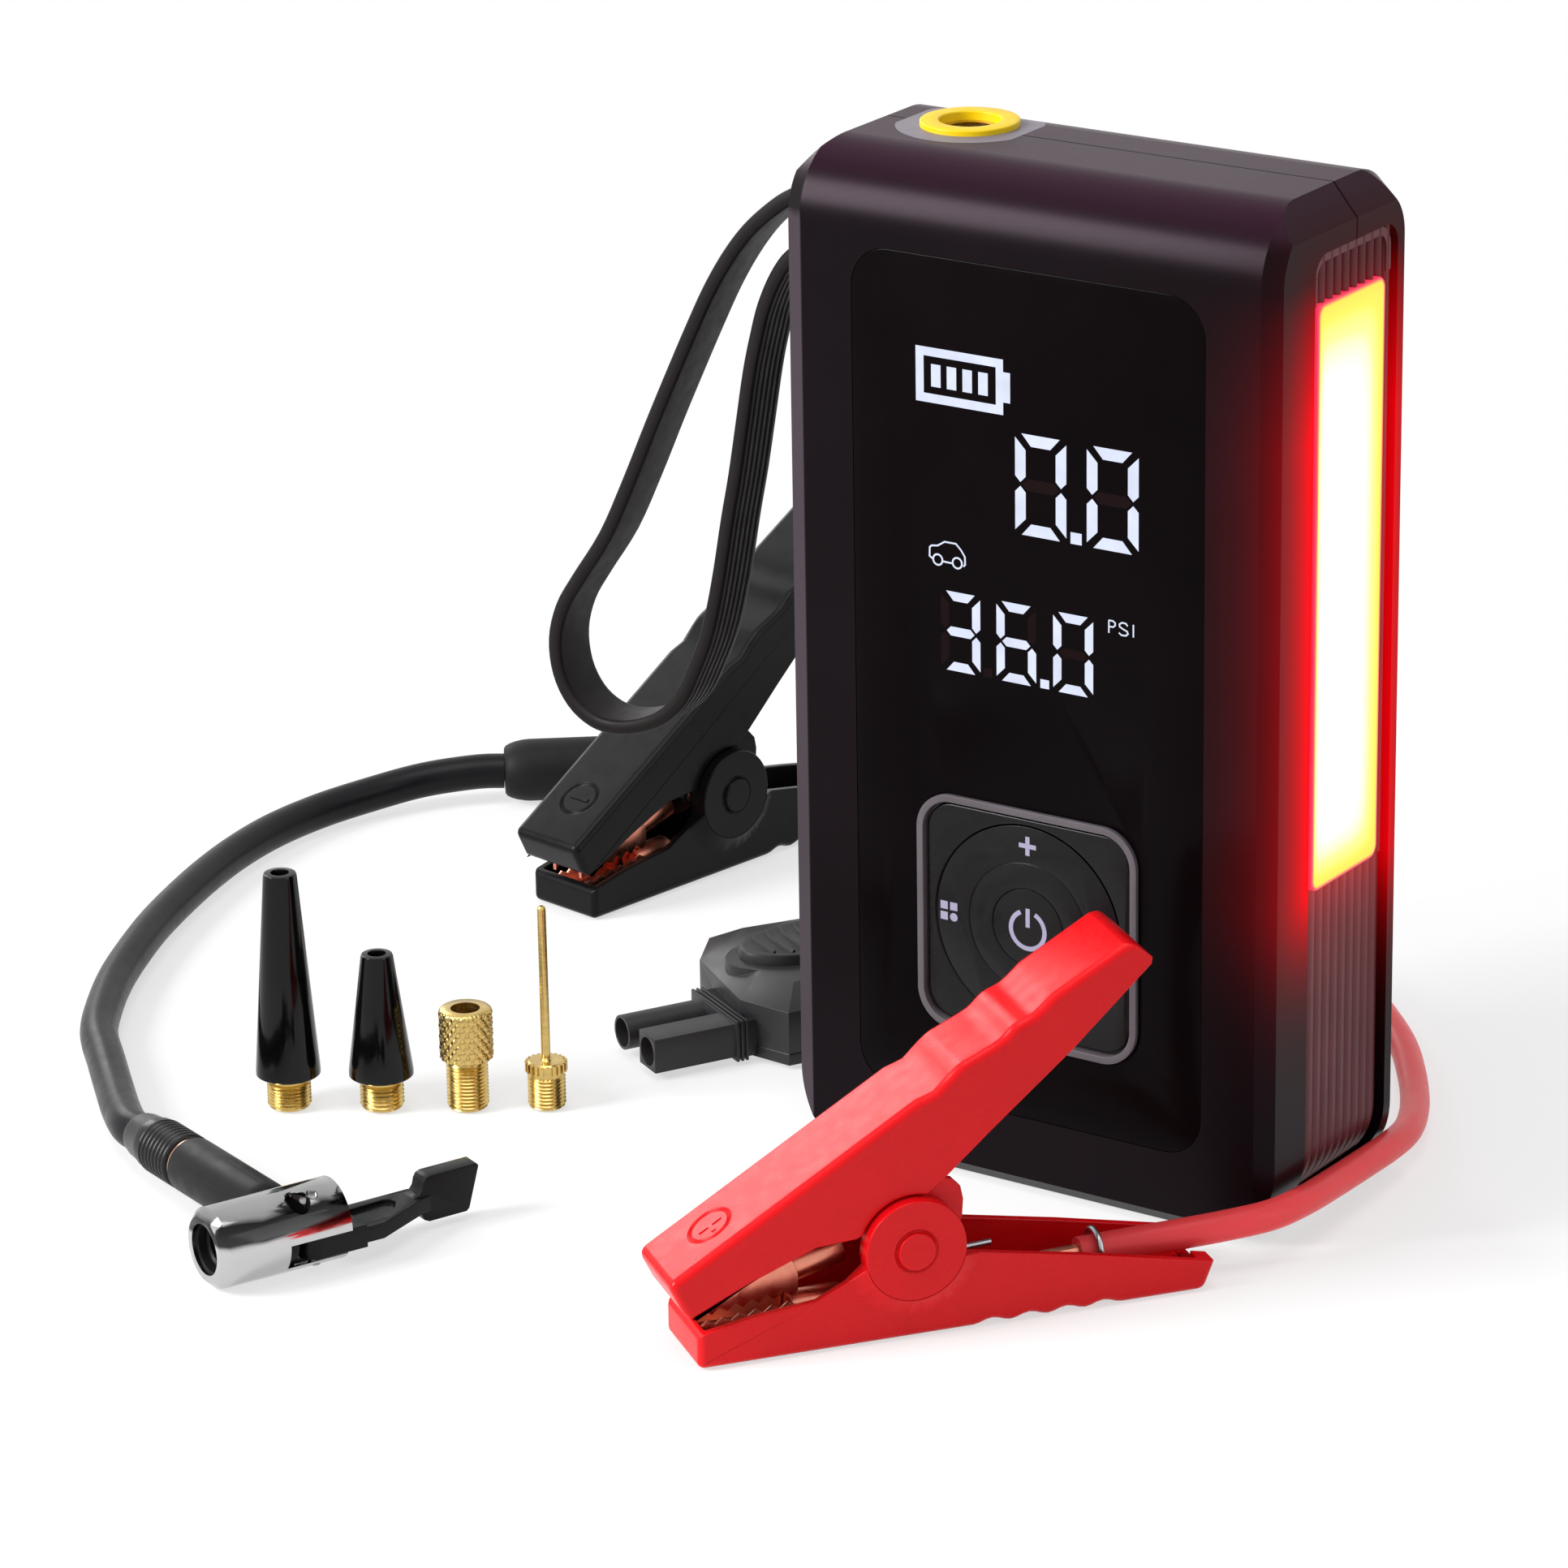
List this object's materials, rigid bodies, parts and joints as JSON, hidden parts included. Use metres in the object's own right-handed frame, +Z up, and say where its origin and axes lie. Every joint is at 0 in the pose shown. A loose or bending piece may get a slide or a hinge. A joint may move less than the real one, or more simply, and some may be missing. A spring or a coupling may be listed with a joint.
{
  "type": "jump starter pack",
  "caption": "Upright car jump starter with air pump, screen, side lamp and carry strap, laid out with clamp leads and plug, air hose with lever chuck, and loose nozzles.",
  "frame": {"origin": "centre of the case's base, on the surface it stands on", "axes": "+Z up, -Y towards the screen and control pad, +X towards the lamp side"},
  "size_m": [0.2801, 0.306, 0.185],
  "materials": {
    "case": "fine grain",
    "window": "glossy",
    "boards": "matt",
    "trim": "satin",
    "pad": "satin gloss",
    "cells": "satin",
    "steel": "satin",
    "nylon": "matt",
    "brass": "turned",
    "outlet_yellow": "satin",
    "lamp": "frosted white, lit",
    "ribs": "satin",
    "socket": "matt",
    "rubber": "satin",
    "clamp_red": "satin",
    "clamp_black": "matt",
    "copper": "copper coloured",
    "cable_red": "satin",
    "plug": "satin",
    "chrome": "bright",
    "nozzle": "gloss"
  },
  "bodies": {
    "root": {"front_shell": "case", "back_shell": "case", "display_window": "window", "display_board": "boards", "pad_bezel": "trim", "pad_plate": "pad", "main_board": "boards", "battery_cells": "cells", "pump_motor": "steel", "pump_housing": "nylon", "outlet_plate": "trim", "outlet_ring": "outlet_yellow", "outlet_fitting": "brass", "lamp_lens": "lamp", "lamp_board": "boards", "side_grille": "ribs", "jump_socket": "socket", "case_screws": "steel", "strap_anchor": "trim", "carry_strap": "rubber", "red_lower_arm": "clamp_red", "black_lower_arm": "clamp_black", "lower_jaws": "copper", "pivot_pins": "steel", "red_spring": "steel", "black_spring": "steel", "cable_cores": "copper", "cable_clips": "steel", "red_cable": "cable_red", "black_cable": "rubber", "plug_top_shell": "plug", "plug_bottom_shell": "plug", "plug_grip": "plug", "plug_barrels": "plug", "plug_contacts": "brass", "air_hose": "rubber", "hose_cuff": "rubber", "hose_fitting": "brass", "chuck_cuff": "rubber", "chuck_ring": "copper", "chuck_barrel": "plug", "chuck_sleeve": "chrome", "chuck_seal": "rubber", "tall_nozzle": "nozzle", "short_nozzle": "nozzle", "nozzle_bases": "brass", "valve_adapter": "brass", "ball_needle": "brass"},
    "power_button": {"power_button": "pad"},
    "rocker_carrier": {"rocker_carrier": "trim"},
    "menu_ring": {"menu_ring": "pad"},
    "port_cover": {"port_cover": "rubber"},
    "crank": {"crank_gear": "nylon"},
    "pinion": {"motor_pinion": "brass"},
    "piston": {"pump_piston": "steel"},
    "red_upper": {"red_upper_arm": "clamp_red", "red_upper_jaw": "copper"},
    "black_upper": {"black_upper_arm": "clamp_black", "black_upper_jaw": "copper"},
    "lever": {"chuck_lever": "pad"}
  },
  "joints": [
    {"name": "power_press", "type": "slide", "parent": "root", "child": "power_button", "axis": [0, 1, 0], "range_m": [0, 0.0006], "stiffness_N_per_m": 300, "springref_m": -0.001},
    {"name": "ring_tilt_sideways", "type": "hinge", "parent": "root", "child": "rocker_carrier", "pos_m": [0, -0.0204, 0.05], "axis": [0, 0, 1], "range_deg": [-1.5, 1.5], "stiffness_Nm_per_rad": 0.05},
    {"name": "ring_tilt_updown", "type": "hinge", "parent": "rocker_carrier", "child": "menu_ring", "pos_m": [0, -0.0212, 0.05], "axis": [1, 0, 0], "range_deg": [-1.5, 1.5], "stiffness_Nm_per_rad": 0.05},
    {"name": "port_cover_swing", "type": "hinge", "parent": "root", "child": "port_cover", "pos_m": [-0.0481, -0.009, 0.0568], "axis": [0, 1, 0], "range_deg": [0, 100], "stiffness_Nm_per_rad": 0.001},
    {"name": "crank_spin", "type": "hinge", "parent": "root", "child": "crank", "pos_m": [-0.0286, 0.0072, 0.112], "axis": [0, 1, 0], "continuous": true},
    {"name": "pinion_spin", "type": "hinge", "parent": "root", "child": "pinion", "pos_m": [-0.0126, 0.0072, 0.112], "axis": [0, 1, 0], "continuous": true},
    {"name": "piston_slide", "type": "slide", "parent": "root", "child": "piston", "axis": [0, 0, 1], "range_m": [-0.012, 0]},
    {"name": "red_clamp_open", "type": "hinge", "parent": "root", "child": "red_upper", "pos_m": [0.00887, -0.07965, 0.0165], "axis": [-0.7986, 0.6018, 0], "range_deg": [0, 28], "stiffness_Nm_per_rad": 0.6, "springref_deg": -45.84, "deforming": ["red_spring"]},
    {"name": "black_clamp_open", "type": "hinge", "parent": "root", "child": "black_upper", "pos_m": [-0.14444, 0.08438, 0.0165], "axis": [-0.9836, 0.1805, 0], "range_deg": [0, 28], "stiffness_Nm_per_rad": 0.6, "springref_deg": -45.84, "deforming": ["black_spring"]},
    {"name": "lever_flip", "type": "hinge", "parent": "root", "child": "lever", "pos_m": [-0.0873, -0.11584, 0.0073], "axis": [0, 0, -1], "range_deg": [0, 85]}
  ],
  "couplings": [
    {"joint": "pinion_spin", "follows": "crank_spin", "ratio": -3}
  ]
}
